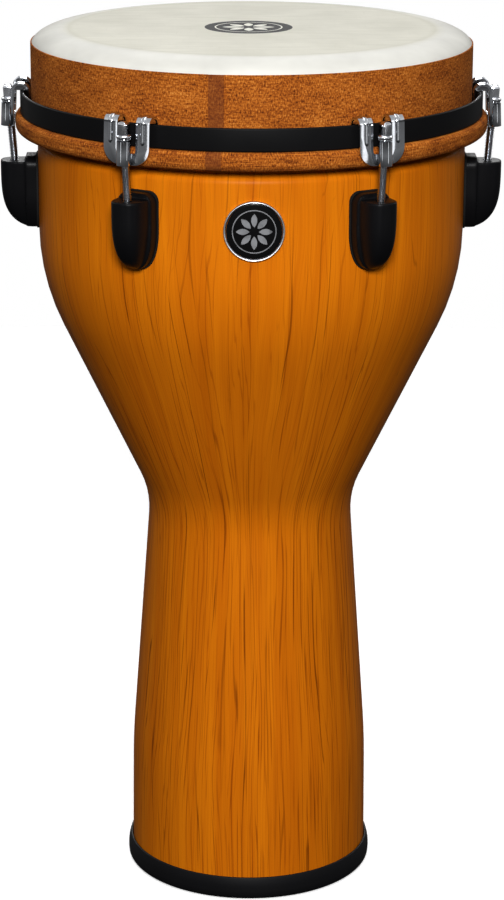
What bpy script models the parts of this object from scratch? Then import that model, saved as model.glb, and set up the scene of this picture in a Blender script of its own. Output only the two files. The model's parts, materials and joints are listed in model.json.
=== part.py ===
"""A goblet hand drum (djembe) with a fibreglass shell and key-tuned mechanical head.

Metres, +Z up. The origin is the middle of the foot, on the floor, and -Y is the front, where the badge is.
Six tuning stations stand around the drum. At each one a square-headed tension rod runs down through a claw
hook into a swivel nut inside a lug. Turning the rods draws the hooks, the counter hoop and the head down.
"""

import math

import bmesh
import bpy
from mathutils import Matrix, Vector

# ---------------------------------------------------------------- driving dimensions
HEIGHT = 0.610  # floor to playing surface
HEAD_RADIUS = 0.151  # outside of the fabric collar, a 12 inch head
BOWL_RADIUS = 0.147  # widest part of the shell, where the lugs sit
NECK_RADIUS = 0.141  # part of the shell that stands inside the head
FOOT_RADIUS = 0.0852
WALL = 0.005
GAP = 0.0003  # between faces that touch

TURN_STEPS = 36  # facets round a large turned piece
SMALL_STEPS = 12  # facets round a rod or a nut
SCREW_STEPS = 8
SWEEP_STEP = math.radians(7)  # along the goblet's long curves
CORNER_STEP = math.radians(50)  # round a small corner
ARCH_STEP = math.radians(31)  # round a hook's arch
SWEEP_FROM = 0.02  # an arc of this radius or more is a long curve
BAND = (0.4, 0.6)  # heights that a curved cutter spans, past the lugs and the badge
THROUGH = (0.13, 0.17)  # radii that a cutter spans, past both faces of the shell's wall
OFF_SEAM = math.radians(10)  # turns a drill on its own axis, so that its corners miss the facets' edges

# ---------------------------------------------------------------- shell
SHELL_FOOT_Z = 0.0033
SHOULDER_Z = 0.535
RIM_Z = HEIGHT - 0.002
RIM_ROUND = 0.0022
# (radius from the axis, height, corner rounding), from the shoulder down to the foot
GOBLET_CORNERS = [
    (NECK_RADIUS, SHOULDER_Z + 0.001, 0.0),
    (BOWL_RADIUS, SHOULDER_Z - 0.001, 0.006),
    (BOWL_RADIUS, 0.4382, 0.155),
    (0.0709, 0.2804, 0.065),
    (0.0844, 0.094, 0.500),
    (FOOT_RADIUS, SHELL_FOOT_Z, 0.0),
]

# ---------------------------------------------------------------- foot ring
FOOT_RING_RADIUS = 0.0886
FOOT_RING_TOP = 0.0164
FOOT_RING_INNER_TOP = 0.013
FOOT_RING_INNER_RADIUS = 0.0775
FOOT_RING_GAP = 0.0004

# ---------------------------------------------------------------- head
FILM_THICK = 0.0012
FILM_FLAT_RADIUS = 0.134
FILM_EDGE_DROP = 0.0120  # the film's edge is a quarter ellipse this deep, cut by the collar's top edge
FILM_EDGE_STEPS = 4
COLLAR_TOP = HEIGHT - 0.0088
FABRIC = 0.0018
FILM_SKIRT_END = HEIGHT - 0.020
WRAP_RADIUS = 0.162
WRAP_TOP = 0.5530
WRAP_BOTTOM = 0.5406
WRAP_SLIT = 0.0008
RING_GAP = 0.0004

# ---------------------------------------------------------------- counter hoop
HOOP_RADIUS = 0.1585
HOOP_THICK = 0.0025
HOOP_BOTTOM = WRAP_TOP + GAP
HOOP_TOP = 0.5684

# ---------------------------------------------------------------- tuning stations
STATIONS = 6
ROD_TILT = math.radians(4.4)  # the rods lean out at the top
ROD_SEAT_R = 0.1666  # where the rod's flange sits on its washer
ROD_SEAT_Z = 0.5600
HOOK_LEAN = math.radians(2.5)  # the hook plates lean out at the bottom

# rod, along its own axis, from the underside of the flange
ROD_RADIUS = 0.00275
FLANGE_RADIUS = 0.0052
FLANGE_THICK = 0.0022
HEAD_SQUARE = 0.00635
HEAD_TALL = 0.0088
HEAD_CHAMFER = 0.0009
JOIN = 0.0005  # how far two pieces that are joined reach into each other
ROD_CHAMFER = 0.0008
ROD_LENGTH = 0.070
WASHER_THICK = 0.0011
WASHER_RADIUS = 0.0047

# hook, with its origin over the middle of the hoop's top edge
HOOK_PLATE = 0.0016
HOOK_WIDTH = 0.034
HOOK_TIP_DROP = 0.0075
HOOK_CROWN = 0.0052  # top of the arch
HOOK_ARCH_ROUND = 0.0056
HOOK_INNER_X = -0.0056
HOOK_OUTER_X = 0.0063
HOOK_BOTTOM = -0.0266
HOOK_CORNER = 0.0115
HOOK_WEB_HALF = 0.0016
HOOK_WEB_SEAT = 0.0006  # a web under each prong's arch bears on the hoop's top edge
HOOK_SLOT_WIDTH = 0.014
HOOK_SLOT_BOTTOM = -0.0191
HOOK_SLOT_ROUND = 0.002
SLEEVE_RADIUS = 0.0046
SLEEVE_BORE = 0.0037
SLEEVE_TOP = -0.0110
NOTCH_RADIUS = 0.0031  # clearance round the rod, which leaves the sleeve through the plate's lower edge
NOTCH_TOP = 0.001

# lug, at its height on the shell
GASKET_THICK = 0.001
GASKET_LIP = 0.0004  # how far the gasket shows round the lug
LUG_BACK = BOWL_RADIUS + GASKET_THICK + 2 * GAP
LUG_FLANGE_FACE = 0.1556
LUG_FLANGE_HALF = 0.013
LUG_FLANGE_TOP = 0.5225
LUG_FLANGE_ROUND = 0.007
LUG_ROOT = 0.009  # how far the body reaches in from its centre, before the shell's curve cuts it
LUG_TAPER_Z = 0.498  # the flange narrows below this as half a superellipse
LUG_TAPER_POWER = 2.6
LUG_TAPER_STEPS = 8
LUG_BOTTOM = 0.471
LUG_BODY_TOP = 0.5185
LUG_BODY_CENTRE = 0.1530
LUG_BODY_FACE = 0.1730
LUG_BODY_HALF = 0.0113
LUG_PLAN_POWER = 2.9
LUG_DEPTH_POWER = 3.9  # how late the body's face curves in towards the shell
LUG_WIDTH_POWER = 5.0
LUG_BODY_LEVELS = (0.0, 0.4, 0.7, 0.88, 0.97)
LUG_BODY_AROUND = 12
ROD_HOLE = 0.0038
NUT_POCKET = (0.498, 0.513)
NUT_POCKET_HALF = 0.0056
NUT_POCKET_FACE = 0.1692
NUT_RADIUS = 0.0048
NUT_LENGTH = 0.013
NUT_BORE = ROD_RADIUS + GAP

# screws that hold each lug, from inside the shell
SCREW_HEIGHTS = {"upper": 0.5177, "lower": 0.484}
SCREW_RADIUS = 0.002
SCREW_HOLE = 0.0024
SCREW_PILOT = 0.0023
SCREW_HEAD_RADIUS = 0.0042
SCREW_HEAD_TALL = 0.0024
SCREW_HEAD_LIFT = 0.0006  # clears the facets of the shell's round inside
SCREW_TIP = 0.1535
PILOT_END = 0.1542

# ---------------------------------------------------------------- badge
BADGE_Z = 0.4996
BADGE_RADIUS = 0.020
BADGE_RIM = 0.0017
BADGE_RIM_FACE = BOWL_RADIUS + 0.0022
BADGE_FACE = BOWL_RADIUS + 0.0016

COLOURS = {
    "shell_finish": ((0.60, 0.24, 0.02), 0.32, 0.0),
    "foot_rubber": ((0.02, 0.02, 0.022), 0.6, 0.0),
    "head_film": ((0.80, 0.79, 0.72), 0.5, 0.0),
    "collar_fabric": ((0.45, 0.16, 0.03), 0.8, 0.0),
    "flesh_hoop_metal": ((0.70, 0.70, 0.72), 0.4, 1.0),
    "hoop_black": ((0.015, 0.015, 0.017), 0.4, 0.0),
    "chrome": ((0.80, 0.81, 0.83), 0.08, 1.0),
    "steel": ((0.55, 0.56, 0.58), 0.3, 1.0),
    "lug_black": ((0.012, 0.012, 0.014), 0.45, 0.0),
    "gasket_rubber": ((0.03, 0.03, 0.03), 0.8, 0.0),
    "nut_brass": ((0.72, 0.55, 0.25), 0.35, 1.0),
    "badge_black": ((0.008, 0.008, 0.010), 0.15, 0.0),
}


# ---------------------------------------------------------------- scene helpers
def clear_scene():
    for item in list(bpy.data.objects):
        bpy.data.objects.remove(item, do_unlink=True)


def new_collection(name):
    made = bpy.data.collections.new(name)
    bpy.context.scene.collection.children.link(made)
    return made


def make_materials():
    made = {}
    for name, (colour, roughness, metallic) in COLOURS.items():
        material = bpy.data.materials.new(name)
        material.use_nodes = True
        shader = material.node_tree.nodes["Principled BSDF"]
        shader.inputs["Base Color"].default_value = (*colour, 1.0)
        shader.inputs["Roughness"].default_value = roughness
        shader.inputs["Metallic"].default_value = metallic
        material.diffuse_color = (*colour, 1.0)
        made[name] = material
    return made


def place(name, mesh, slot, parent=None, location=(0, 0, 0)):
    """A new named object of the drum, with its material."""
    if not mesh.materials:
        mesh.materials.append(MATERIALS[slot])
    made = bpy.data.objects.new(name, mesh)
    DRUM.objects.link(made)
    made.parent = parent
    made.location = location
    return made


def empty(name, parent=None, location=(0, 0, 0), rotation=(0, 0, 0)):
    made = bpy.data.objects.new(name, None)
    DRUM.objects.link(made)
    made.parent = parent
    made.location = location
    made.rotation_euler = rotation
    return made


# ---------------------------------------------------------------- outlines
def rounded(corners, closed=False, step=None):
    """The points of an outline whose corners (x, z, radius) are turned into arcs."""
    count = len(corners)
    points = []
    for i, (x, z, radius) in enumerate(corners):
        here = Vector((x, z))
        if radius <= 0 or (not closed and i in (0, count - 1)):
            points.append((x, z))
            continue
        before = (Vector(corners[i - 1][:2]) - here).normalized()
        after = (Vector(corners[(i + 1) % count][:2]) - here).normalized()
        half = before.angle(after) / 2
        reach = radius / math.tan(half)
        centre = here + (before + after).normalized() * (radius / math.sin(half))
        start, end = here + before * reach - centre, here + after * reach - centre
        turn = start.angle_signed(end)
        longest = step or (SWEEP_STEP if radius > SWEEP_FROM else CORNER_STEP)
        steps = max(1, math.ceil(abs(turn) / longest))
        for k in range(steps + 1):
            arm = Matrix.Rotation(-turn * k / steps, 2) @ start
            points.append(tuple(centre + arm))
    return points


def offset(points, distance):
    """The same open outline moved sideways, to the right of the way it runs."""
    moved = []
    for i, point in enumerate(points):
        a = Vector(points[max(i - 1, 0)])
        b = Vector(points[min(i + 1, len(points) - 1)])
        along = (b - a).normalized()
        moved.append(tuple(Vector(point) + Vector((along.y, -along.x)) * distance))
    return moved


def superellipse(across, up, power, start, end, steps):
    """Points of |x / across| ** power + |y / up| ** power = 1 between two angles."""
    points = []
    for k in range(steps + 1):
        angle = start + (end - start) * k / steps
        c, s = math.cos(angle), math.sin(angle)
        x = across * math.copysign(abs(c) ** (2 / power), c)
        y = up * math.copysign(abs(s) ** (2 / power), s)
        points.append((x, y))
    return points


def clockwise(points):
    area = sum(a[0] * b[1] - b[0] * a[1] for a, b in zip(points, points[1:] + points[:1]))
    return points[::-1] if area > 0 else points


def turned(name, points, slot, ring=True):
    """A piece turned round Z: a closed ring, or a cap whose outline starts and ends on the axis."""
    points = clockwise(points)
    mesh = bpy.data.meshes.new(name)
    edges = [(i, i + 1) for i in range(len(points) - 1)]
    if ring:
        edges.append((len(points) - 1, 0))
    mesh.from_pydata([(r, 0, z) for r, z in points], edges, [])
    made = place(name, mesh, slot)
    screw = made.modifiers.new("Turn", "SCREW")
    screw.axis = "Z"
    screw.steps = screw.render_steps = TURN_STEPS
    screw.use_merge_vertices = not ring
    screw.merge_threshold = 0.00005
    screw.use_smooth_shade = True
    return made


# ---------------------------------------------------------------- solids
def tool(name, mesh, matrix=None):
    """A cutter, or a shape that a Boolean joins, kept out of the drum itself."""
    made = bpy.data.objects.new(name, mesh)
    TOOLS.objects.link(made)
    made.hide_render = True
    made.display_type = "WIRE"
    if matrix is not None:
        made.matrix_world = matrix
    return made


def mesh_of(work, name):
    mesh = bpy.data.meshes.new(name)
    bmesh.ops.recalc_face_normals(work, faces=work.faces)
    work.to_mesh(mesh)
    work.free()
    return mesh


def cylinder(name, radius, low, high, steps=SMALL_STEPS):
    """A closed cylinder round local Z."""
    work = bmesh.new()
    tall = high - low
    bmesh.ops.create_cone(work, cap_ends=True, segments=steps, radius1=radius, radius2=radius, depth=tall)
    bmesh.ops.translate(work, vec=(0, 0, (high + low) / 2), verts=work.verts)
    return mesh_of(work, name)


def box(name, low, high):
    work = bmesh.new()
    bmesh.ops.create_cube(work, size=1.0)
    sides = Vector(high) - Vector(low)
    bmesh.ops.scale(work, vec=sides, verts=work.verts)
    bmesh.ops.translate(work, vec=(Vector(high) + Vector(low)) / 2, verts=work.verts)
    return mesh_of(work, name)


def prism(name, points, along, low, high):
    """A flat outline pushed straight along X ("X": points are y, z) or along Y ("Y": points are x, z)."""
    work = bmesh.new()
    if along == "X":
        rows = [work.verts.new((low, a, b)) for a, b in points]
        way = Vector((high - low, 0, 0))
    else:
        rows = [work.verts.new((a, low, b)) for a, b in points]
        way = Vector((0, high - low, 0))
    face = work.faces.new(rows)
    pushed = bmesh.ops.extrude_face_region(work, geom=[face])["geom"]
    bmesh.ops.translate(work, vec=way, verts=[v for v in pushed if isinstance(v, bmesh.types.BMVert)])
    return mesh_of(work, name)


def tube(name, inner, outer, low, high):
    """A ring-shaped tool round the drum's axis."""
    work = bmesh.new()
    outline = [(outer, high), (outer, low), (inner, low), (inner, high)]
    rows = [work.verts.new((r, 0, z)) for r, z in outline]
    edges = [work.edges.new((rows[i], rows[(i + 1) % 4])) for i in range(4)]
    bmesh.ops.spin(
        work, geom=rows + edges, cent=(0, 0, 0), axis=(0, 0, 1), angle=2 * math.pi,
        steps=2 * TURN_STEPS, use_merge=True, use_duplicate=False,
    )
    bmesh.ops.remove_doubles(work, verts=work.verts, dist=1e-6)
    return mesh_of(work, name)


def along_x(height, angle=0.0):
    """Turns a tool made round Z so that it lies along a radius of the drum, at that height and angle."""
    turn = Matrix.Rotation(angle, 4, "Z")
    lift = Matrix.Translation((0, 0, height))
    return turn @ lift @ Matrix.Rotation(math.pi / 2, 4, "Y") @ Matrix.Rotation(OFF_SEAM, 4, "Z")


def combine(name, base, steps):
    """The mesh of base after each (operation, tool) in turn. The tools are removed."""
    made = tool(name, base)
    for operation, other in steps:
        change = made.modifiers.new(operation, "BOOLEAN")
        change.operation = operation
        change.object = other
        change.solver = "EXACT"
    bpy.context.view_layer.update()
    graph = bpy.context.evaluated_depsgraph_get()
    mesh = bpy.data.meshes.new_from_object(made.evaluated_get(graph))
    mesh.name = name
    for used in [made] + [other for _, other in steps]:
        bpy.data.objects.remove(used, do_unlink=True)
    return mesh


# ---------------------------------------------------------------- frames at each station
def rod_line():
    """From a rod's own frame to its station's: the rod's axis is Z, and its flange sits at the origin."""
    return Matrix.Translation((ROD_SEAT_R, 0, ROD_SEAT_Z)) @ Matrix.Rotation(ROD_TILT, 4, "Y")


def hook_seat():
    """From a hook's own frame to its station's."""
    middle = HOOP_RADIUS - HOOP_THICK / 2
    return Matrix.Translation((middle, 0, HOOP_TOP)) @ Matrix.Rotation(-HOOK_LEAN, 4, "Y")


# ---------------------------------------------------------------- turned pieces
def goblet_outline():
    """The closed outline of the shell's wall: down the outside, and back up the inside."""
    outside = rounded([(NECK_RADIUS, RIM_Z - RIM_ROUND, 0.0)] + GOBLET_CORNERS)
    inside = offset(outside, WALL)
    inside[0] = (NECK_RADIUS - WALL, RIM_Z - RIM_ROUND)
    inside[-1] = (FOOT_RADIUS - WALL, SHELL_FOOT_Z)
    rim = rounded(
        [
            (NECK_RADIUS - WALL, RIM_Z - RIM_ROUND, 0),
            (NECK_RADIUS - WALL, RIM_Z, RIM_ROUND),
            (NECK_RADIUS, RIM_Z, RIM_ROUND),
            (NECK_RADIUS, RIM_Z - RIM_ROUND, 0),
        ]
    )
    return outside + inside[::-1] + rim[1:-1]


def make_shell():
    shell = turned("shell", goblet_outline(), "shell_finish")
    drill = cylinder("screw_hole", SCREW_HOLE, *THROUGH, SCREW_STEPS)
    for station in range(STATIONS):
        for height in SCREW_HEIGHTS.values():
            where = along_x(height, station * 2 * math.pi / STATIONS)
            cut = shell.modifiers.new("Screw hole", "BOOLEAN")
            cut.operation = "DIFFERENCE"
            cut.object = tool("screw_drill", drill, where)
            cut.solver = "EXACT"


def make_foot_ring():
    """A rubber channel round the shell's bottom edge. The drum stands on it."""
    groove_out = FOOT_RADIUS + FOOT_RING_GAP
    groove_in = FOOT_RADIUS - WALL - FOOT_RING_GAP
    groove_floor = SHELL_FOOT_Z - GAP
    outline = rounded(
        [
            (groove_out, FOOT_RING_TOP, 0),
            (FOOT_RING_RADIUS - 0.0018, FOOT_RING_TOP, 0),
            (FOOT_RING_RADIUS, 0.008, 0.012),
            (FOOT_RING_RADIUS - 0.0006, 0, 0.0035),
            (FOOT_RING_INNER_RADIUS, 0, 0),
            (FOOT_RING_INNER_RADIUS, FOOT_RING_INNER_TOP, 0),
            (groove_in, FOOT_RING_INNER_TOP, 0),
            (groove_in, groove_floor, 0),
            (groove_out, groove_floor, 0),
        ],
        closed=True,
    )
    turned("foot_ring", outline, "foot_rubber")


def make_film():
    """The drumhead film: flat, with an edge that rolls down to the collar and a skirt bonded inside it."""
    reach = HEAD_RADIUS - FILM_FLAT_RADIUS
    stop = math.asin(1 - (HEIGHT - COLLAR_TOP - GAP) / FILM_EDGE_DROP)
    edge = []
    for k in range(FILM_EDGE_STEPS + 1):
        angle = math.pi / 2 - (math.pi / 2 - stop) * k / FILM_EDGE_STEPS
        drop = FILM_EDGE_DROP * (1 - math.sin(angle))
        edge.append((FILM_FLAT_RADIUS + reach * math.cos(angle), HEIGHT - drop))
    skirt_out = HEAD_RADIUS - FABRIC - GAP
    skirt_in = skirt_out - FILM_THICK
    top = [(0, HEIGHT)] + edge
    below = offset(edge, FILM_THICK)[:-1]
    skirt = [(skirt_out, edge[-1][1]), (skirt_out, FILM_SKIRT_END), (skirt_in, FILM_SKIRT_END)]
    under = [p for p in below[::-1] if p[0] < skirt_in - 0.0005]
    turned("head_film", top + skirt + under + [(0, HEIGHT - FILM_THICK)], "head_film", ring=False)


def make_collar():
    """The woven collar: a wall round the film's skirt whose lower end wraps the flesh hoop."""
    inner = HEAD_RADIUS - FABRIC
    outline = rounded(
        [
            (HEAD_RADIUS, COLLAR_TOP, 0),
            (HEAD_RADIUS, WRAP_BOTTOM + FABRIC, 0),
            (WRAP_RADIUS - FABRIC, WRAP_BOTTOM + FABRIC, 0),
            (WRAP_RADIUS - FABRIC, WRAP_TOP - FABRIC, 0),
            (HEAD_RADIUS + WRAP_SLIT, WRAP_TOP - FABRIC, 0),
            (HEAD_RADIUS + WRAP_SLIT, WRAP_TOP, 0),
            (WRAP_RADIUS, WRAP_TOP, 0.0032),
            (WRAP_RADIUS, WRAP_BOTTOM, 0.0042),
            (inner, WRAP_BOTTOM, 0),
            (inner, COLLAR_TOP, 0),
        ],
        closed=True,
    )
    turned("head_collar", outline, "collar_fabric")


def make_flesh_hoop():
    """The stiff ring inside the collar's wrap."""
    low, high = WRAP_BOTTOM + FABRIC + RING_GAP, WRAP_TOP - FABRIC - RING_GAP
    inner, outer = HEAD_RADIUS + RING_GAP, WRAP_RADIUS - FABRIC - RING_GAP
    outline = rounded(
        [(outer, high, 0.002), (outer, low, 0.003), (inner, low, 0), (inner, high, 0)], closed=True
    )
    turned("flesh_hoop", outline, "flesh_hoop_metal")


def make_counter_hoop():
    """The flat steel band that presses the flesh hoop down."""
    inner = HOOP_RADIUS - HOOP_THICK
    outline = [(HOOP_RADIUS, HOOP_TOP), (HOOP_RADIUS, HOOP_BOTTOM), (inner, HOOP_BOTTOM), (inner, HOOP_TOP)]
    turned("counter_hoop", outline, "hoop_black")


# ---------------------------------------------------------------- pieces of one station
def hook_mesh():
    """A claw: two prongs that curl over the hoop, a plate, and a sleeve that the rod passes through."""
    tip = -HOOK_TIP_DROP
    spine = rounded(
        [
            (HOOK_INNER_X + tip * math.tan(HOOK_LEAN), tip, 0),
            (HOOK_INNER_X, HOOK_CROWN, HOOK_ARCH_ROUND),
            (HOOK_OUTER_X, HOOK_CROWN, HOOK_ARCH_ROUND),
            (HOOK_OUTER_X, HOOK_BOTTOM, 0),
        ],
        step=ARCH_STEP,
    )
    strip = spine + offset(spine, HOOK_PLATE)[::-1]
    half, above, far = HOOK_WIDTH / 2, 2 * HOOK_CROWN, 2 * HOOK_WIDTH
    front = rounded(
        [
            (-half, above, 0),
            (-half, HOOK_BOTTOM, HOOK_CORNER),
            (half, HOOK_BOTTOM, HOOK_CORNER),
            (half, above, 0),
        ]
    )
    slot = HOOK_SLOT_WIDTH / 2
    opening = rounded(
        [
            (-slot, 2 * above, 0),
            (-slot, HOOK_SLOT_BOTTOM, HOOK_SLOT_ROUND),
            (slot, HOOK_SLOT_BOTTOM, HOOK_SLOT_ROUND),
            (slot, 2 * above, 0),
        ]
    )
    steps = [
        ("INTERSECT", tool("front", prism("front", front, "X", -far, far))),
        ("DIFFERENCE", tool("slot", prism("slot", opening, "X", -far, far))),
    ]
    inset = HOOK_PLATE / 2
    web_round = HOOK_ARCH_ROUND - 2.5 * inset
    web = rounded(
        [
            (HOOK_INNER_X + inset, HOOK_WEB_SEAT, 0),
            (HOOK_INNER_X + inset, HOOK_CROWN - inset, web_round),
            (HOOK_OUTER_X - inset, HOOK_CROWN - inset, web_round),
            (HOOK_OUTER_X - inset, HOOK_WEB_SEAT, 0),
        ],
        closed=True,
    )
    for side in (-1, 1):
        middle = side * (HOOK_SLOT_WIDTH + HOOK_WIDTH) / 4
        solid = prism("web", web, "Y", middle - HOOK_WEB_HALF, middle + HOOK_WEB_HALF)
        steps.append(("UNION", tool("web", solid)))
    sleeve = Matrix.Translation((HOOK_OUTER_X - HOOK_PLATE + SLEEVE_RADIUS, 0, 0))
    rod_in_hook = hook_seat().inverted() @ rod_line()
    notch_radius = NOTCH_RADIUS / math.cos(math.pi / SMALL_STEPS)
    notch = cylinder("notch", notch_radius, 2 * HOOK_BOTTOM, NOTCH_TOP)
    steps += [
        ("UNION", tool("sleeve", cylinder("sleeve", SLEEVE_RADIUS, HOOK_BOTTOM, SLEEVE_TOP), sleeve)),
        ("DIFFERENCE", tool("bore", cylinder("bore", SLEEVE_BORE, 2 * HOOK_BOTTOM, 0.0), sleeve)),
        ("DIFFERENCE", tool("notch", notch, rod_in_hook)),
    ]
    return combine("hook", prism("strip", strip, "Y", -half, half), steps)


def rod_mesh():
    """A tension rod: a square key head on a round flange, and a long shank with a chamfered end."""
    head_top = FLANGE_THICK + HEAD_TALL
    shank = bmesh.new()
    bmesh.ops.create_cone(
        shank, cap_ends=True, segments=SMALL_STEPS, radius1=ROD_RADIUS, radius2=ROD_RADIUS, depth=ROD_LENGTH
    )
    bmesh.ops.translate(shank, vec=(0, 0, JOIN - ROD_LENGTH / 2), verts=shank.verts)
    rim = [e for e in shank.edges if all(v.co.z < -ROD_LENGTH / 2 for v in e.verts)]
    bmesh.ops.bevel(shank, geom=rim, offset=ROD_CHAMFER, segments=1, affect="EDGES")
    head = bmesh.new()
    bmesh.ops.create_cube(head, size=1.0)
    bmesh.ops.scale(head, vec=(HEAD_SQUARE, HEAD_SQUARE, HEAD_TALL + JOIN), verts=head.verts)
    bmesh.ops.translate(head, vec=(0, 0, (head_top + FLANGE_THICK - JOIN) / 2), verts=head.verts)
    bmesh.ops.bevel(head, geom=head.edges[:], offset=HEAD_CHAMFER, segments=2, affect="EDGES", profile=0.5)
    steps = [
        ("UNION", tool("flange", cylinder("flange", FLANGE_RADIUS, 0, FLANGE_THICK))),
        ("UNION", tool("square", mesh_of(head, "square"))),
    ]
    return combine("tension_rod", mesh_of(shank, "shank"), steps)


def ring_mesh(name, outer, inner, low, high, steps=SMALL_STEPS):
    """A washer, a nut or a rim round Z."""
    bore = tool("bore", cylinder("bore", inner, low - outer, high + outer, steps))
    return combine(name, cylinder(name, outer, low, high, steps), [("DIFFERENCE", bore)])


def flange_outline(grow=0.0):
    """The lug's outline from the front: round shoulders on top, and half a superellipse below."""
    half, top = LUG_FLANGE_HALF + grow, LUG_FLANGE_TOP + grow
    drop = LUG_TAPER_Z - LUG_BOTTOM + grow
    corners = [(-half, LUG_TAPER_Z, 0), (-half, top, LUG_FLANGE_ROUND), (half, top, LUG_FLANGE_ROUND)]
    below = superellipse(half, drop, LUG_TAPER_POWER, 0, -math.pi, LUG_TAPER_STEPS)
    return rounded(corners + [(half, LUG_TAPER_Z, 0)])[:-1] + [(y, LUG_TAPER_Z + z) for y, z in below[:-1]]


def lug_body():
    """The full part of a lug: its plan narrows and its face curves in towards the shell as it goes down."""
    body = bmesh.new()
    drop = LUG_BODY_TOP - LUG_BOTTOM
    rings = []
    for t in LUG_BODY_LEVELS:
        face = LUG_BACK + (LUG_BODY_FACE - LUG_BACK) * math.sqrt(1 - t ** LUG_DEPTH_POWER)
        wide = LUG_BODY_HALF * math.sqrt(1 - t ** LUG_WIDTH_POWER)
        plan = superellipse(1.0, wide, LUG_PLAN_POWER, 0, 2 * math.pi, LUG_BODY_AROUND)[:-1]
        ring = []
        for x, y in plan:
            reach = face - LUG_BODY_CENTRE if x > 0 else LUG_ROOT
            ring.append(body.verts.new((LUG_BODY_CENTRE + x * reach, y, LUG_BODY_TOP - drop * t)))
        rings.append(ring)
    for upper, lower in zip(rings, rings[1:]):
        for i in range(LUG_BODY_AROUND):
            k = (i + 1) % LUG_BODY_AROUND
            body.faces.new((upper[i], upper[k], lower[k], lower[i]))
    body.faces.new(rings[0])
    body.faces.new(rings[-1][::-1])
    bmesh.ops.triangulate(body, faces=body.faces[:])
    return mesh_of(body, "body")


def lug_mesh():
    """A moulded lug: a flange that seats on the shell, a full body, and a pocket behind for its nut."""
    low, high = NUT_POCKET
    half = NUT_POCKET_HALF
    pocket = box("pocket", (NECK_RADIUS, -half, low), (NUT_POCKET_FACE, half, high))
    hole = cylinder("rod_hole", ROD_HOLE, -ROD_LENGTH - ROD_HOLE, 0.0)
    steps = [
        ("UNION", tool("body", lug_body())),
        ("DIFFERENCE", tool("shell_face", cylinder("shell_face", LUG_BACK, *BAND, 2 * TURN_STEPS))),
        ("DIFFERENCE", tool("pocket", pocket)),
        ("DIFFERENCE", tool("rod_hole", hole, rod_line())),
    ]
    for height in SCREW_HEIGHTS.values():
        pilot = cylinder("pilot", SCREW_PILOT, NECK_RADIUS, PILOT_END, SCREW_STEPS)
        steps.append(("DIFFERENCE", tool("pilot", pilot, along_x(height))))
    flange = prism("flange", flange_outline(), "X", LUG_BACK - LUG_ROOT, LUG_FLANGE_FACE)
    return combine("lug", flange, steps)


def gasket_mesh():
    """A thin rubber gasket, curved to the shell, with a hole for each screw."""
    inner = BOWL_RADIUS + GAP
    steps = [("INTERSECT", tool("sheet", tube("sheet", inner, inner + GASKET_THICK, *BAND)))]
    for height in SCREW_HEIGHTS.values():
        hole = cylinder("hole", SCREW_HOLE, *THROUGH, SCREW_STEPS)
        steps.append(("DIFFERENCE", tool("hole", hole, along_x(height))))
    return combine("gasket", prism("outline", flange_outline(GASKET_LIP), "X", *THROUGH), steps)


def screw_mesh():
    """A pan-head screw along X, with its head inside the shell and its thread in the lug."""
    seat = BOWL_RADIUS - WALL - GAP
    head = cylinder("head", SCREW_HEAD_RADIUS, seat - SCREW_HEAD_TALL, seat - SCREW_HEAD_LIFT, SCREW_STEPS)
    shank = tool("shank", cylinder("shank", SCREW_RADIUS, seat - SCREW_RADIUS, SCREW_TIP, SCREW_STEPS))
    mesh = combine("screw", head, [("UNION", shank)])
    mesh.transform(Matrix.Rotation(math.pi / 2, 4, "Y"))
    return mesh


def make_stations():
    hook, rod, lug, gasket, screw = hook_mesh(), rod_mesh(), lug_mesh(), gasket_mesh(), screw_mesh()
    washer = ring_mesh("washer", WASHER_RADIUS, ROD_RADIUS + GAP, -WASHER_THICK - GAP, -GAP)
    nut_middle = (sum(NUT_POCKET) / 2 - ROD_SEAT_Z) / math.cos(ROD_TILT)
    nut = ring_mesh("nut", NUT_RADIUS, NUT_BORE, nut_middle - NUT_LENGTH / 2, nut_middle + NUT_LENGTH / 2)
    for k in range(STATIONS):
        n = k + 1
        station = empty(f"station_{n}", rotation=(0, 0, k * 2 * math.pi / STATIONS))
        line = empty(f"rod_line_{n}", station, (ROD_SEAT_R, 0, ROD_SEAT_Z), (0, ROD_TILT, 0))
        seat = empty(f"hook_seat_{n}", station, hook_seat().translation, (0, -HOOK_LEAN, 0))
        place(f"hook_{n}", hook, "chrome", seat)
        place(f"tension_rod_{n}", rod, "steel", line)
        place(f"rod_washer_{n}", washer, "chrome", line)
        place(f"swivel_nut_{n}", nut, "nut_brass", line)
        place(f"lug_{n}", lug, "lug_black", station)
        place(f"lug_gasket_{n}", gasket, "gasket_rubber", station)
        for label, height in SCREW_HEIGHTS.items():
            place(f"lug_screw_{label}_{n}", screw, "steel", station, (0, 0, height))


# ---------------------------------------------------------------- badge
def make_badge():
    """A chrome rim and a glossy face, both curved to the shell's front."""
    back = BOWL_RADIUS + GAP
    front = Matrix.Translation((0, 0, BADGE_Z)) @ Matrix.Rotation(math.pi / 2, 4, "X")
    inner = BADGE_RADIUS - BADGE_RIM
    rim = ring_mesh("rim", BADGE_RADIUS, inner, *THROUGH, 2 * SMALL_STEPS)
    rim.transform(front)
    rim_sheet = tool("rim_sheet", tube("rim_sheet", back, BADGE_RIM_FACE, *BAND))
    place("badge_rim", combine("badge_rim", rim, [("INTERSECT", rim_sheet)]), "chrome")
    face = cylinder("face", inner - GAP, *THROUGH, 2 * SMALL_STEPS)
    face.transform(front)
    face_sheet = tool("face_sheet", tube("face_sheet", back, BADGE_FACE, *BAND))
    place("badge_face", combine("badge_face", face, [("INTERSECT", face_sheet)]), "badge_black")


clear_scene()
DRUM = new_collection("djembe")
TOOLS = new_collection("tools")
MATERIALS = make_materials()

make_shell()
make_foot_ring()
make_film()
make_collar()
make_flesh_hoop()
make_counter_hoop()
make_stations()
make_badge()
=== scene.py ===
import json
import math

import bmesh
import bpy
import numpy as np
from mathutils import Matrix, Vector


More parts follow.
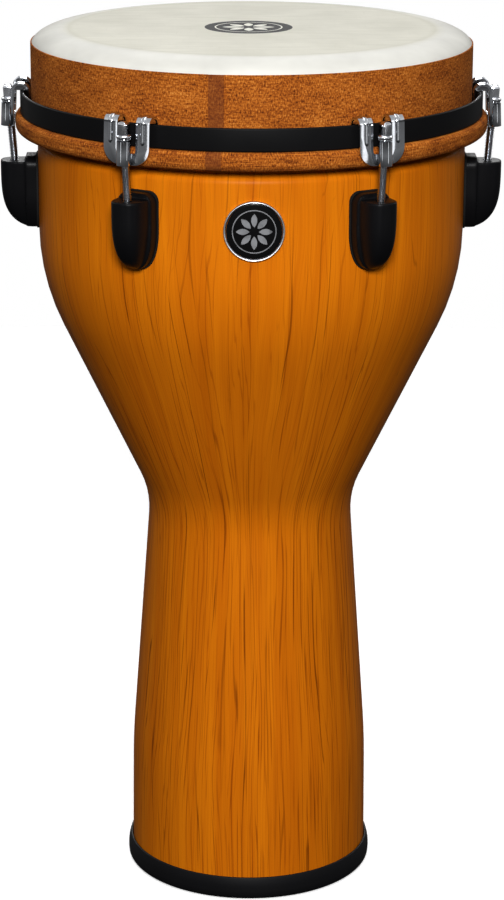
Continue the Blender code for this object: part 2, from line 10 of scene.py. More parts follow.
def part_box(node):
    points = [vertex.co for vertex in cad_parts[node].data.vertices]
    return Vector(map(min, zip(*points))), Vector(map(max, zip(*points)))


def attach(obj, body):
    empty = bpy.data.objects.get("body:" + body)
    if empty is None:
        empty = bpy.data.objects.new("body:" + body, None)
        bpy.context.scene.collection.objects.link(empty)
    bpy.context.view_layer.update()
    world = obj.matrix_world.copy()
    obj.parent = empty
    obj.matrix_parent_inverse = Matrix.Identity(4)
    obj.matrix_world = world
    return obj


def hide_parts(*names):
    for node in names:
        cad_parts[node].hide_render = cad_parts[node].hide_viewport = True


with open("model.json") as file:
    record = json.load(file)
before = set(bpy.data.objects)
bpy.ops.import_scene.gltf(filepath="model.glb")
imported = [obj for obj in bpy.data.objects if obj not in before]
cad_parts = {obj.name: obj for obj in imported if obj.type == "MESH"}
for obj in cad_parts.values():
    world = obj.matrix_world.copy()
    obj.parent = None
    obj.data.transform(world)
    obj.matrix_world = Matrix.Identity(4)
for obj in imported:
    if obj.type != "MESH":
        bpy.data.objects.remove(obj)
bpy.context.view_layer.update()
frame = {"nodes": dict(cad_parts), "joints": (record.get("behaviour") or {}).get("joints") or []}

# -------------------- places that the frame gives
STATIONS = 6
ROOT, HEAD = "root", "head"
SHELL_LOW, SHELL_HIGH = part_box("shell")
FILM_LOW, FILM_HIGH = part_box("head_film")
COLLAR_LOW, COLLAR_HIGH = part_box("head_collar")
HOOP_LOW, HOOP_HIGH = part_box("counter_hoop")
FOOT_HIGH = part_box("foot_ring")[1]
BADGE_LOW, BADGE_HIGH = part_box("badge_rim")
WRAP_RADIUS = COLLAR_HIGH.x
WRAP_BOTTOM = COLLAR_LOW.z
COLLAR_TOP = COLLAR_HIGH.z
HOOP_RADIUS = HOOP_HIGH.x
HEIGHT = FILM_HIGH.z
JOINTS = {joint["name"]: joint for joint in frame["joints"]}

# -------------------- sizes
BOWL_RADIUS = SHELL_HIGH.x
NECK_RADIUS = 0.141
WALL = 0.005
SHOULDER_Z = 0.535
RIM_ROUND = 0.0022
# (radius, height, corner rounding) down the goblet's outside
GOBLET_CORNERS = [
    (NECK_RADIUS, SHOULDER_Z + 0.001, 0.0008),
    (BOWL_RADIUS, SHOULDER_Z - 0.001, 0.006),
    (BOWL_RADIUS, 0.4382, 0.155),
    (0.0709, 0.2804, 0.065),
    (0.0844, 0.094, 0.500),
    (0.0852, SHELL_LOW.z, 0.0),
]

COLLAR_RADIUS = 0.151
CLOTH = 0.0011  # thickness of the woven cloth
THREAD_EVERY = 0.0009  # from one thread of the cloth to the next
WRAP_TOP = 0.5530
SEAM_AZIMUTH = math.radians(-9.4)  # where the collar's two ends overlap
SEAM_WIDTH = 0.0102
SEAM_PROUD = 0.0005
HOOP_THICK = 0.0025
FILM_THICK = 0.0006
FILM_FLAT_RADIUS = 0.127
FILM_EDGE_DROP = 0.0120
FILM_TOP = HEIGHT - 0.0001
PRINT_RADIUS = 0.0300
PRINT_ASIDE = -0.0022

HOOK_LEAN = math.radians(2.5)
HOOK_PLATE = 0.0016
HOOK_WIDTH = 0.034
HOOK_TIP_DROP = 0.0075
HOOK_CROWN = 0.0052
HOOK_ARCH_ROUND = 0.0056
HOOK_INNER_X = -0.0056
HOOK_OUTER_X = 0.0063
HOOK_BOTTOM = -0.0266
HOOK_CORNER = 0.0115
HOOK_WEB_HALF = 0.0042
HOOK_WEB_SEAT = 0.0006
HOOK_SLOT_WIDTH = 0.014
HOOK_SLOT_BOTTOM = -0.0191
HOOK_SLOT_ROUND = 0.002
RIB_HALF = 0.0016
RIB_PROUD = 0.0008
RIB_SUNK = 0.0004
RIB_END = -0.0134  # where the rib runs out on the plate
SLEEVE_RADIUS = 0.0046
SLEEVE_BORE = 0.0037
SLEEVE_TOP = -0.0110
NOTCH_RADIUS = 0.0031

THREAD_PITCH = 0.0254 / 24
THREAD_MAJOR = 0.00272
THREAD_MINOR = 0.00214
ROD_LENGTH = 0.070
FLANGE_RADIUS = 0.0051
FLANGE_THICK = 0.0022
HEAD_SQUARE = 0.0063
HEAD_TALL = 0.0088
HEAD_DOME = 0.0032

LUG_BACK = BOWL_RADIUS + 0.0016
LUG_FLANGE_FACE = 0.1556
LUG_FLANGE_HALF = 0.0130
LUG_FLANGE_TOP = 0.5225
LUG_FLANGE_ROUND = 0.007
LUG_ROOT = 0.009
LUG_TAPER_Z = 0.498
LUG_TAPER_POWER = 2.3
LUG_BOTTOM = 0.471
LUG_BODY_TOP = 0.5185
LUG_BODY_CENTRE = 0.1530
LUG_BODY_FACE = 0.1730
LUG_BODY_HALF = 0.0113
LUG_PLAN_POWER = 2.9
LUG_DEPTH_POWER = 3.9
LUG_WIDTH_POWER = 3.4
LUG_VOXEL = 0.00065

SCREW_HEIGHTS = {"upper": 0.5177, "lower": 0.484}
BADGE_Z = (BADGE_LOW.z + BADGE_HIGH.z) / 2
BADGE_RADIUS = (BADGE_HIGH.z - BADGE_LOW.z) / 2
BADGE_RIM = 0.0017

FLOOR_RADIUS = 1.6
FLOOR_PALE = 0.97
FLOOR_GLOW = 0.3
AMBIENT = 0.042
# how bright the studio is where the metal shows it, by the height of the direction from -1 to 1
MIRRORED = [(-0.55, 0.03), (-0.30, 0.12), (-0.14, 0.25), (-0.02, 0.16), (0.12, 0.06), (0.28, 0.10)]
MIRRORED += [(0.36, 0.95), (0.8, 0.6)]
CONTRAST = 0.85  # the view's gamma
# far lamps: (azimuth, elevation, spread, power), in degrees from the front towards +X
SUNS = {
    "top_sun": (0, 80, 40, 1.1),
    "back_sun": (180, 32, 30, 1.2),
    "back_left_sun": (-140, 24, 30, 0.4),
    "back_right_sun": (140, 24, 30, 0.4),
}
# panels: (place, aim, width and height, power)
PANELS = {
    "key_panel": ((0.0, -2.15, 1.36), (0, 0, 0.28), (0.5, 0.5), 56),
    "left_strip": ((-1.5, -1.5, 0.75), (0, 0, 0.5), (0.22, 1.6), 1.4),
    "right_strip": ((1.6, -1.3, 0.75), (0, 0, 0.5), (0.22, 1.6), 1.4),
}
CAMERA_LENS = 114.7
CAMERA_AZIMUTH = math.radians(-0.8)
CAMERA_DISTANCE = 1.957
CAMERA_HEIGHT = 0.8936
CAMERA_ASIDE = -0.0007  # turned this much off the drum's axis
CAMERA_PITCH = 0.2904
CAMERA_ROLL = math.radians(0.25)

FINE_STEP = 6  # degrees from one point of an arc to the next
ROUND = 288  # facets round the drum


# -------------------- outlines
def rounded(corners, closed=False, step=FINE_STEP):
    """The points of an outline whose corners (x, z, radius) are turned into arcs."""
    count = len(corners)
    points = []
    for i, (x, z, radius) in enumerate(corners):
        here = Vector((x, z))
        if radius <= 0 or (not closed and i in (0, count - 1)):
            points.append((x, z))
            continue
        before = (Vector(corners[i - 1][:2]) - here).normalized()
        after = (Vector(corners[(i + 1) % count][:2]) - here).normalized()
        half = before.angle(after) / 2
        reach = radius / math.tan(half)
        centre = here + (before + after).normalized() * (radius / math.sin(half))
        start, end = here + before * reach - centre, here + after * reach - centre
        turn = start.angle_signed(end)
        steps = max(3, math.ceil(abs(turn) / math.radians(step)))
        for k in range(steps + 1):
            arm = Matrix.Rotation(-turn * k / steps, 2) @ start
            points.append(tuple(centre + arm))
    return points


def offset(points, distance):
    """The same open outline moved sideways, to the right of the way it runs."""
    moved = []
    for i, point in enumerate(points):
        a = Vector(points[max(i - 1, 0)])
        b = Vector(points[min(i + 1, len(points) - 1)])
        along = (b - a).normalized()
        moved.append(tuple(Vector(point) + Vector((along.y, -along.x)) * distance))
    return moved


def divided(points, longest):
    """The same outline with extra points, so that no stretch is longer than that."""
    finer = [points[0]]
    for a, b in zip(points, points[1:]):
        parts = max(1, math.ceil(math.dist(a, b) / longest))
        run, rise = b[0] - a[0], b[1] - a[1]
        finer += [(a[0] + run * k / parts, a[1] + rise * k / parts) for k in range(1, parts + 1)]
    return finer


def superellipse(across, up, power, start, end, steps):
    """Points of |x / across| ** power + |y / up| ** power = 1 between two angles."""
    points = []
    for k in range(steps + 1):
        angle = start + (end - start) * k / steps
        c, s = math.cos(angle), math.sin(angle)
        x, y = math.copysign(abs(c) ** (2 / power), c), math.copysign(abs(s) ** (2 / power), s)
        points.append((across * x, up * y))
    return points


# -------------------- meshes
def mesh_of(work, name):
    mesh = bpy.data.meshes.new(name)
    bmesh.ops.recalc_face_normals(work, faces=work.faces)
    work.to_mesh(mesh)
    work.free()
    return mesh


def mesh_from(name, points, faces):
    mesh = bpy.data.meshes.new(name)
    mesh.from_pydata([tuple(p) for p in points], [], faces)
    work = bmesh.new()
    work.from_mesh(mesh)
    bpy.data.meshes.remove(mesh)
    return mesh_of(work, name)


def even_angles(count):
    return [math.tau * k / count for k in range(count)]


def join_rings(work, rings):
    """The walls between rings of points that follow each other, and the caps of the first and the last."""
    count = len(rings[0])
    for low, high in zip(rings, rings[1:]):
        for i in range(count):
            k = (i + 1) % count
            work.faces.new((low[i], low[k], high[k], high[i]))
    work.faces.new(rings[0][::-1])
    work.faces.new(rings[-1])


def lathe(name, outline, angles=None, closed=True, bulge=None):
    """Turns an outline round Z. A closed outline makes a ring; an open one starts or ends on the axis.

    What bulge(angle) gives is added to every radius.
    """
    angles = angles or even_angles(ROUND)
    work = bmesh.new()
    columns = []
    for angle in angles:
        column = []
        for i, (r, z) in enumerate(outline):
            if r < 1e-6 and columns:
                column.append(columns[0][i])
                continue
            reach = r + (bulge(angle) if bulge else 0.0)
            column.append(work.verts.new((reach * math.sin(angle), -reach * math.cos(angle), z)))
        columns.append(column)
    rows = len(outline) if closed else len(outline) - 1
    for j, column in enumerate(columns):
        beside = columns[(j + 1) % len(columns)]
        for i in range(rows):
            k = (i + 1) % len(outline)
            corners = [column[i], column[k], beside[k], beside[i]]
            corners = [c for n, c in enumerate(corners) if c not in corners[:n]]
            work.faces.new(corners)
    return mesh_of(work, name)


def linked(name, data, matrix=None):
    """A new object in the scene."""
    made = bpy.data.objects.new(name, data)
    bpy.context.scene.collection.objects.link(made)
    if matrix is not None:
        made.matrix_world = matrix
    return made


def add(name, mesh, material, body, replaced=(), matrix=None, sharp=40):
    """A finished piece: its mesh, its material, the body it rides on and the CAD nodes it stands for."""
    mesh.shade_smooth()
    mesh.set_sharp_from_angle(angle=math.radians(sharp))
    mesh.materials.clear()
    mesh.materials.append(material)
    piece = linked(name, mesh, matrix)
    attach(piece, body)
    if replaced:
        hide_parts(*replaced)
    return piece


def joined(name, *meshes):
    work = bmesh.new()
    for mesh in meshes:
        work.from_mesh(mesh)
    return mesh_of(work, name)


def cylinder(radius, low, high, steps=48):
    work = bmesh.new()
    both = {"radius1": radius, "radius2": radius}
    bmesh.ops.create_cone(work, cap_ends=True, segments=steps, depth=high - low, **both)
    bmesh.ops.translate(work, vec=(0, 0, (high + low) / 2), verts=work.verts)
    return mesh_of(work, "cylinder")


def prism(points, along, low, high):
    """A flat outline pushed straight along X (points are y, z) or along Y (points are x, z)."""
    work = bmesh.new()
    if along == "X":
        rows = [work.verts.new((low, a, b)) for a, b in points]
        way = Vector((high - low, 0, 0))
    else:
        rows = [work.verts.new((a, low, b)) for a, b in points]
        way = Vector((0, high - low, 0))
    face = work.faces.new(rows)
    pushed = bmesh.ops.extrude_face_region(work, geom=[face])["geom"]
    bmesh.ops.translate(work, vec=way, verts=[v for v in pushed if isinstance(v, bmesh.types.BMVert)])
    return mesh_of(work, "prism")


def applied(made, name):
    """The evaluated mesh of a temporary object, which is removed."""
    bpy.context.view_layer.update()
    graph = bpy.context.evaluated_depsgraph_get()
    mesh = bpy.data.meshes.new_from_object(made.evaluated_get(graph))
    mesh.name = name
    bpy.data.objects.remove(made, do_unlink=True)
    return mesh


def combine(name, base, steps, bevel=0.0):
    """The mesh of base after each (operation, mesh, matrix) in turn, with its sharp edges rounded."""
    made = linked(name, base)
    others = []
    for operation, *tool in steps:
        others.append(linked("tool", *tool))
        change = made.modifiers.new(operation, "BOOLEAN")
        change.operation = operation
        change.object = others[-1]
        change.solver = "EXACT"
    if bevel:
        edge = made.modifiers.new("Edges", "BEVEL")
        edge.width = bevel
        edge.segments = 3
        edge.limit_method = "ANGLE"
        edge.angle_limit = math.radians(35)
        edge.use_clamp_overlap = True
        edge.harden_normals = False
    mesh = applied(made, name)
    for other in others:
        bpy.data.objects.remove(other, do_unlink=True)
    return mesh


def station_matrix(k):
    return Matrix.Rotation(k * math.tau / STATIONS, 4, "Z")


def rod_matrix(k):
    """The frame of rod k: its axis is Z, and the underside of its flange is at the origin."""
    joint = JOINTS[f"rod_{k + 1}_turn"]
    lean = Vector((0, 0, 1)).rotation_difference(Vector(joint["axis"])).to_matrix().to_4x4()
    return Matrix.Translation(joint["pos_m"]) @ lean @ station_matrix(k)


def hook_matrix(k):
    middle = HOOP_RADIUS - HOOP_THICK / 2
    seat = Matrix.Translation((middle, 0, HOOP_HIGH.z)) @ Matrix.Rotation(-HOOK_LEAN, 4, "Y")
    return station_matrix(k) @ seat


# -------------------- material nodes
class Nodes:
    """A small wrapper that builds the node tree of its owner, a material or a world, from left to right."""

    def __init__(self, owner):
        owner.use_nodes = True
        self.owner = owner
        self.tree = owner.node_tree
        self.shader = self.tree.nodes.get("Principled BSDF")

    def new(self, kind):
        return self.tree.nodes.new("ShaderNode" + kind)

    def set(self, **values):
        for name, value in values.items():
            socket = self.shader.inputs[name.replace("_", " ")]
            socket.default_value = (*value, 1.0) if isinstance(value, tuple) and len(value) == 3 else value

    def link(self, source, target):
        self.tree.links.new(source, target)

    def feed(self, name, source):
        self.link(source, self.shader.inputs[name])

    def put(self, socket, value):
        if isinstance(value, bpy.types.NodeSocket):
            self.link(value, socket)
        else:
            socket.default_value = value

    def math(self, operation, *values):
        node = self.new("Math")
        node.operation = operation
        for socket, value in zip(node.inputs, values):
            self.put(socket, value)
        return node.outputs[0]

    def times(self, a, b):
        return self.math("MULTIPLY", a, b)

    def plus(self, a, b):
        return self.math("ADD", a, b)

    def minus(self, a, b):
        return self.math("SUBTRACT", a, b)

    def combine(self, x, y, z):
        node = self.new("CombineXYZ")
        for socket, value in zip(node.inputs, (x, y, z)):
            self.put(socket, value)
        return node.outputs[0]

    def place(self):
        return self.new("TexCoord").outputs["Object"]

    def object_xyz(self):
        split = self.new("SeparateXYZ")
        self.link(self.place(), split.inputs[0])
        return split.outputs

    def noise(self, vector, scale=1.0, detail=2.0, rough=0.5, distortion=0.0):
        node = self.new("TexNoise")
        self.put(node.inputs["Vector"], vector)
        node.inputs["Scale"].default_value = scale
        node.inputs["Detail"].default_value = detail
        node.inputs["Roughness"].default_value = rough
        node.inputs["Distortion"].default_value = distortion
        return node.outputs["Fac"]

    def ramp(self, source, *stops):
        """Maps a value to colours, or to greys where a stop's colour is one number."""
        node = self.new("ValToRGB")
        elements = node.color_ramp.elements
        while len(elements) < len(stops):
            elements.new(1.0)
        for element, (place, colour) in zip(elements, stops):
            element.position = place
            element.color = (*colour, 1.0) if isinstance(colour, tuple) else (colour, colour, colour, 1.0)
        self.link(source, node.inputs[0])
        return node.outputs[0]

    def mix(self, factor, a, b):
        node = self.new("Mix")
        node.data_type = "RGBA"
        self.put(node.inputs[0], factor)
        for socket, value in ((node.inputs[6], a), (node.inputs[7], b)):
            self.put(socket, (*value, 1.0) if isinstance(value, tuple) else value)
        return node.outputs[2]

    def bump(self, height, distance, strength=1.0):
        node = self.new("Bump")
        node.inputs["Strength"].default_value = strength
        node.inputs["Distance"].default_value = distance
        self.link(height, node.inputs["Height"])
        self.link(node.outputs[0], self.shader.inputs["Normal"])

    def round_axis(self):
        """Unit direction from the drum's axis (x, y), the height z and the distance from the axis."""
        x, y, z = self.object_xyz()
        radius = self.math("SQRT", self.plus(self.times(x, x), self.times(y, y)))
        radius = self.math("MAXIMUM", radius, 1e-4)
        across, ahead = self.math("DIVIDE", x, radius), self.math("DIVIDE", y, radius)
        return across, ahead, z, radius


def new_material(name):
    return Nodes(bpy.data.materials.new(name))


def linear(r, g, b):
    """A colour given as 0 to 255, as the shader's linear values."""
    return tuple((c / 255 / 12.92) if c <= 10 else ((c / 255 + 0.055) / 1.055) ** 2.4 for c in (r, g, b))


def wood_lacquer():
    """Orange satin lacquer over a printed straight grain: thin dark lines up the shell, and soft bands."""
    n = new_material("wood_lacquer")
    across, ahead, z, radius = n.round_axis()
    drift = n.noise(n.combine(n.times(across, 2.2), n.times(ahead, 2.2), n.times(z, 5.0)))
    sway = n.times(n.minus(drift, 0.5), 0.16)
    gx = n.minus(across, n.times(ahead, sway))
    gy = n.plus(ahead, n.times(across, sway))

    def grain(around, along, detail=2.0, rough=0.5, lift=0.0):
        up = n.math("MULTIPLY_ADD", z, along, lift)
        return n.noise(n.combine(n.times(gx, around), n.times(gy, around), up), 1.0, detail, rough)

    def drawn_lines(count, lift, half_width, length, rarity):
        """Thin dark lines up the shell, count of them round it, that come and go along their length."""
        angle = n.times(n.math("ARCTAN2", across, ahead), count / (math.tau))
        lean = n.times(grain(2.0, 4.5, 1.0, 0.5, lift), count * 0.05)
        uneven = n.times(grain(count * 0.3, 3.0, 0.0, 0.5, lift + 2.0), 0.5)
        field = n.plus(n.plus(angle, 10.0 * count), n.plus(lean, uneven))
        line = n.math("MODULO", n.math("FLOOR", field), count)
        away = n.math("ABSOLUTE", n.minus(n.math("FRACT", field), 0.5))
        metres = n.times(n.times(away, radius), math.tau / count)
        own = n.noise(n.combine(n.times(line, 3.7), n.times(z, length), lift), 1.0, 1.0)
        present = n.ramp(own, (rarity, 0.0), (rarity + 0.16, 1.0))
        reach = n.times(n.minus(1.0, present), 2 * half_width)
        tone = n.ramp(n.noise(n.combine(n.times(line, 5.3), 0.4, lift)), (0.32, 0.5), (0.55, 1.0))
        width = n.times(n.plus(metres, reach), 1 / (4 * half_width))
        return n.times(n.ramp(width, (0.10, 1.0), (0.40, 0.0)), tone)

    thinning = n.ramp(z, (0.42, 1.0), (0.51, 0.7))
    bands = n.ramp(grain(8.0, 3.0, 3.0, 0.6), (0.30, 0.0), (0.72, 1.0))
    base = n.mix(bands, linear(208, 119, 13), linear(226, 138, 18))
    patches = n.ramp(grain(14.0, 6.0, 2.0, 0.6, 20.0), (0.42, 0.0), (0.70, 1.0))
    base = n.mix(n.times(patches, 0.26), base, linear(182, 94, 8))
    fibres = n.ramp(grain(200.0, 7.0, 3.0, 0.7, 3.0), (0.34, 0.0), (0.70, 1.0))
    base = n.mix(n.times(fibres, 0.3), base, linear(172, 86, 7))
    for count, lift, half_width, length, rarity, depth, colour in (
        (240, 5.0, 0.00031, 14.0, 0.40, 0.42, (140, 60, 6)),
        (150, 31.0, 0.00035, 11.0, 0.41, 0.56, (120, 48, 5)),
        (92, 12.0, 0.00040, 10.0, 0.44, 0.74, (94, 36, 4)),
    ):
        lines = drawn_lines(count, lift, half_width, length, rarity)
        # lines come in groups, with clear lacquer between them, and are few near the head
        groups = n.ramp(grain(9.0, 4.0, 1.0, 0.5, lift + 40.0), (0.38, 0.5), (0.58, 1.0))
        grouped = n.times(n.times(lines, groups), thinning)
        base = n.mix(n.times(grouped, depth), base, linear(*colour))
    n.feed("Base Color", base)
    n.set(Roughness=0.38, Specular_IOR_Level=0.06)
    n.bump(n.minus(1.0, lines), 0.00005, 0.35)
    return n.owner


def raw_fibre():
    """The inside of the shell: unpolished glass fibre in dark resin."""
    n = new_material("raw_fibre")
    place = n.place()
    mottled = n.noise(place, 90.0, 4.0, 0.65)
    strands = n.noise(place, 420.0, 2.0, 0.7, 1.5)
    base = n.mix(n.ramp(mottled, (0.3, 0.0), (0.7, 1.0)), linear(52, 46, 40), linear(92, 82, 70))
    base = n.mix(n.ramp(strands, (0.55, 0.0), (0.7, 0.6)), base, linear(128, 118, 104))
    n.feed("Base Color", base)
    n.set(Roughness=0.72)
    n.bump(n.plus(mottled, n.times(strands, 0.4)), 0.0006, 0.6)
    return n.owner


def woven(name, radius, stretch=1.0):
    """Cloth of orange and brown threads: warp up the drum, and weft round it, long where stretch is low."""
    n = new_material(name)
    x, y, v = n.object_xyz()
    turn = Matrix.Rotation(-SEAM_AZIMUTH, 2)
    # the angle starts at the overlap, so the pattern's jump lies under it
    tx = n.plus(n.times(x, turn[0][0]), n.times(y, turn[0][1]))
    ty = n.plus(n.times(x, turn[1][0]), n.times(y, turn[1][1]))
    angle = n.math("ARCTAN2", tx, ty)
    u = n.times(angle, radius)
    thread = math.pi / THREAD_EVERY
    warp_wave = n.math("SINE", n.times(u, thread))
    weft_wave = n.math("SINE", n.times(v, thread))
    over = n.times(warp_wave, weft_wave)

    def varied(around, along, lift, detail, rough):
        return n.noise(n.combine(n.times(u, around), n.times(v, along), lift), 1.0, detail, rough)

    fine, long = 1 / THREAD_EVERY, 0.42 / THREAD_EVERY
    warp = varied(fine, long, 0.0, 1.0, 0.5)
    weft = varied(long * stretch, fine, 7.0, 1.0, 0.5)
    slub = varied(190.0 * stretch, 860.0, 3.0, 3.0, 0.75)
    dyed = varied(34.0, 62.0, 9.0, 3.0, 0.6)
    upper = n.ramp(over, (0.35, 0.0), (0.65, 1.0))
    threads = n.mix(upper, warp, weft)
    shade_of = n.plus(n.times(threads, 0.45), n.times(slub, 0.35))
    shade_of = n.plus(shade_of, n.times(dyed, 0.20))
    colour = n.ramp(
        shade_of,
        (0.37, linear(92, 44, 16)),
        (0.46, linear(148, 82, 29)),
        (0.54, linear(188, 113, 40)),
        (0.65, linear(220, 152, 76)),
    )
    gaps = n.ramp(n.math("ABSOLUTE", over), (0.0, 1.0), (0.3, 0.0))
    colour = n.mix(n.times(gaps, 0.28), colour, linear(84, 36, 10))
    # the overlap of the two ends is glued, and browner than the rest
    from_seam = n.times(n.minus(math.pi, n.math("ABSOLUTE", angle)), radius)
    lapped = n.math("LESS_THAN", from_seam, SEAM_WIDTH / 2)
    colour = n.mix(n.times(lapped, 0.62), colour, linear(112, 60, 34))
    n.feed("Base Color", colour)
    n.set(Roughness=0.85, Specular_IOR_Level=0.12)
    n.bump(n.plus(n.math("ABSOLUTE", over), n.times(shade_of, 0.5)), 0.00022, 0.8)
    return n.owner


def skin_film():
    """The head's film: off-white and slightly translucent, with faint fibres like a natural skin."""
    n = new_material("skin_film")
    x, y, _ = n.object_xyz()
    clouds = n.noise(n.place(), 22.0, 3.0, 0.6)
    streaks = n.noise(n.combine(n.times(x, 16.0), n.times(y, 150.0), 0.0), 1.0, 3.0, 0.65)
    cross = n.noise(n.combine(n.times(x, 420.0), n.times(y, 60.0), 4.0), 1.0, 2.0, 0.6)
    cloudy = n.ramp(clouds, (0.3, 0.0), (0.7, 1.0))
    base = n.mix(cloudy, linear(204, 202, 190), linear(217, 215, 204))
    base = n.mix(n.ramp(streaks, (0.5, 0.0), (0.72, 0.35)), base, linear(189, 187, 174))
    base = n.mix(n.ramp(cross, (0.6, 0.0), (0.8, 0.28)), base, linear(192, 190, 177))
    radius = n.round_axis()[3]
    # painted shadow: a faint dark line where the flat meets the rolled edge; painted highlight: the rolled
    # edge is lighter
    edge = FILM_FLAT_RADIUS
    painted_shadow_line = n.ramp(radius, (edge - 0.0035, 0.0), (edge - 0.001, 0.4), (edge + 0.0015, 0.0))
    base = n.mix(painted_shadow_line, base, linear(184, 181, 166))
    # painted highlight: the rolled edge is painted lighter than the flat, as if lit
    rim = n.ramp(radius, (edge, 0.0), (edge + 0.003, 1.0))
    base = n.mix(rim, base, n.mix(cloudy, linear(206, 205, 199), linear(222, 221, 215)))
    n.feed("Base Color", base)
    n.feed("Roughness", n.ramp(clouds, (0.3, 0.42), (0.7, 0.52)))
    n.set(Specular_IOR_Level=0.02)
    n.bump(streaks, 0.00006, 0.5)
    return n.owner


def printed(name, colour):
    """Matt ink, worn a little by hands."""
    n = new_material(name)
    wear = n.noise(n.place(), 260.0, 3.0, 0.7)
    lighter = tuple(min(1.0, c * 1.5 + 0.02) for c in colour)
    n.feed("Base Color", n.mix(n.ramp(wear, (0.45, 0.0), (0.8, 0.5)), colour, lighter))
    n.set(Roughness=0.6, Specular_IOR_Level=0.08)
    return n.owner


def powder_black(name, roughness, grain_scale, grain_height, colour=(20, 20, 22), gloss=0.25):
    """Black powder coat, rubber or moulded plastic: near black, with a fine even texture."""
    n = new_material(name)
    place = n.place()
    grain = n.noise(place, grain_scale, 3.0, 0.6)
    patch = n.noise(place, 24.0, 2.0, 0.5)
    dark = linear(*colour)
    n.feed("Base Color", n.mix(patch, dark, tuple(c * 1.5 for c in dark)))
    n.set(Specular_IOR_Level=gloss)
    n.feed("Roughness", n.ramp(patch, (0.3, max(0.0, roughness - 0.04)), (0.7, roughness + 0.05)))
    n.bump(grain, grain_height, 0.5)
    return n.owner


def metal(name, colour, roughness, scratch=0.0):
    """Plated or turned metal, with faint smears in its gloss."""
    n = new_material(name)
    place = n.place()
    smear = n.noise(place, 160.0, 3.0, 0.6)
    n.feed("Base Color", n.mix(smear, linear(*colour), tuple(c * 0.86 for c in linear(*colour))))
    n.feed("Roughness", n.ramp(smear, (0.3, roughness), (0.75, roughness + 0.06 + scratch)))
    n.set(Metallic=1.0)
    n.bump(n.noise(place, 900.0, 2.0, 0.5), 0.00001 + 0.00003 * scratch, 0.3)
    return n.owner


# -------------------- turned pieces
def make_shell(outside, inside):
    top, bore = SHELL_HIGH.z, NECK_RADIUS - WALL
    start = top - RIM_ROUND
    outer = divided(rounded([(NECK_RADIUS, start, 0.0)] + GOBLET_CORNERS), 0.012)
    inner = offset(outer, WALL)
    inner[0] = (bore, start)
    inner[-1] = (GOBLET_CORNERS[-1][0] - WALL, SHELL_LOW.z)
    corners = [(bore, start, 0), (bore, top, RIM_ROUND), (NECK_RADIUS, top, RIM_ROUND)]
    rim = rounded(corners + [(NECK_RADIUS, start, 0)], step=20)
    mesh = lathe("shell_body", outer + inner[::-1] + rim[1:-1])
    add("shell_body", mesh, outside, ROOT, ["shell"], sharp=50)
    mesh.materials.append(inside)
    for face in mesh.polygons:
        centre = face.center
        outward = Vector((centre.x, centre.y, 0)).dot(face.normal) > 0
        if not outward and face.normal.z > -0.99:
            face.material_index = 1


def make_foot_ring(material):
    groove_out, groove_in = GOBLET_CORNERS[-1][0] + 0.0003, GOBLET_CORNERS[-1][0] - WALL - 0.0003
    outer, inner = FOOT_HIGH.x, 0.0775
    corners = [
        (groove_out, FOOT_HIGH.z - 0.0004, 0),
        (groove_out + 0.0003, FOOT_HIGH.z, 0.0002),
        (outer - 0.0016, FOOT_HIGH.z, 0.0008),
        (outer - 0.0002, 0.0115, 0.02),
        (outer, 0.0055, 0.012),
        (outer - 0.0006, 0, 0.0035),
        (inner, 0, 0.0015),
        (inner, 0.013, 0.0008),
        (groove_in, 0.013, 0),
        (groove_in, SHELL_LOW.z - 0.0003, 0),
        (groove_out, SHELL_LOW.z - 0.0003, 0),
    ]
    outline = rounded(corners, closed=True, step=15)
    add("foot_bumper", lathe("foot_bumper", outline), material, ROOT, ["foot_ring"])


def film_edge():
    """The film's rolled edge, from its flat to where the collar starts: a quarter ellipse, cut short."""
    reach = COLLAR_RADIUS - FILM_FLAT_RADIUS
    stop = math.asin(1 - (FILM_TOP - COLLAR_TOP + 0.0003) / FILM_EDGE_DROP)
    steps = 20
    points = []
    for k in range(steps + 1):
        angle = math.pi / 2 - (math.pi / 2 - stop) * k / steps
        radius = FILM_FLAT_RADIUS + reach * math.cos(angle)
        points.append((radius, FILM_TOP - FILM_EDGE_DROP * (1 - math.sin(angle))))
    return points


def make_film(material):
    edge = film_edge()
    flat = [(FILM_FLAT_RADIUS * k / 12, FILM_TOP) for k in range(12)]
    last = edge[-1]
    skirt_out = COLLAR_RADIUS - CLOTH - 0.0002
    outside = flat + edge + [(skirt_out, last[1] - 0.0004), (skirt_out, FILM_LOW.z)]
    inside = [(skirt_out - FILM_THICK, FILM_LOW.z)]
    below = [p for p in offset(edge, FILM_THICK)[::-1] if p[0] < skirt_out - FILM_THICK - 0.0002]
    underside = [(radius, FILM_TOP - FILM_THICK) for radius in (FILM_FLAT_RADIUS * 0.5, 0)]
    outline = outside + inside + below + underside
    add("skin", lathe("skin", outline, closed=False), material, HEAD, ["head_film"])


def seam_bulge(angle):
    """The cloth stands a little proud over its overlap."""
    away = abs((angle - SEAM_AZIMUTH + math.pi) % (math.tau) - math.pi) * COLLAR_RADIUS
    return SEAM_PROUD if away < SEAM_WIDTH / 2 else 0.0


def seam_angles():
    """Even steps round the drum, with close pairs at both edges of the overlap."""
    even = even_angles(ROUND)
    half = SEAM_WIDTH / 2 / COLLAR_RADIUS
    edges = []
    for side in (-half, half):
        edge = (SEAM_AZIMUTH + side) % (math.tau)
        edges += [edge - 0.0006, edge + 0.0006]
    return sorted([a for a in even if all(abs(a - e) > 0.004 for e in edges)] + edges)


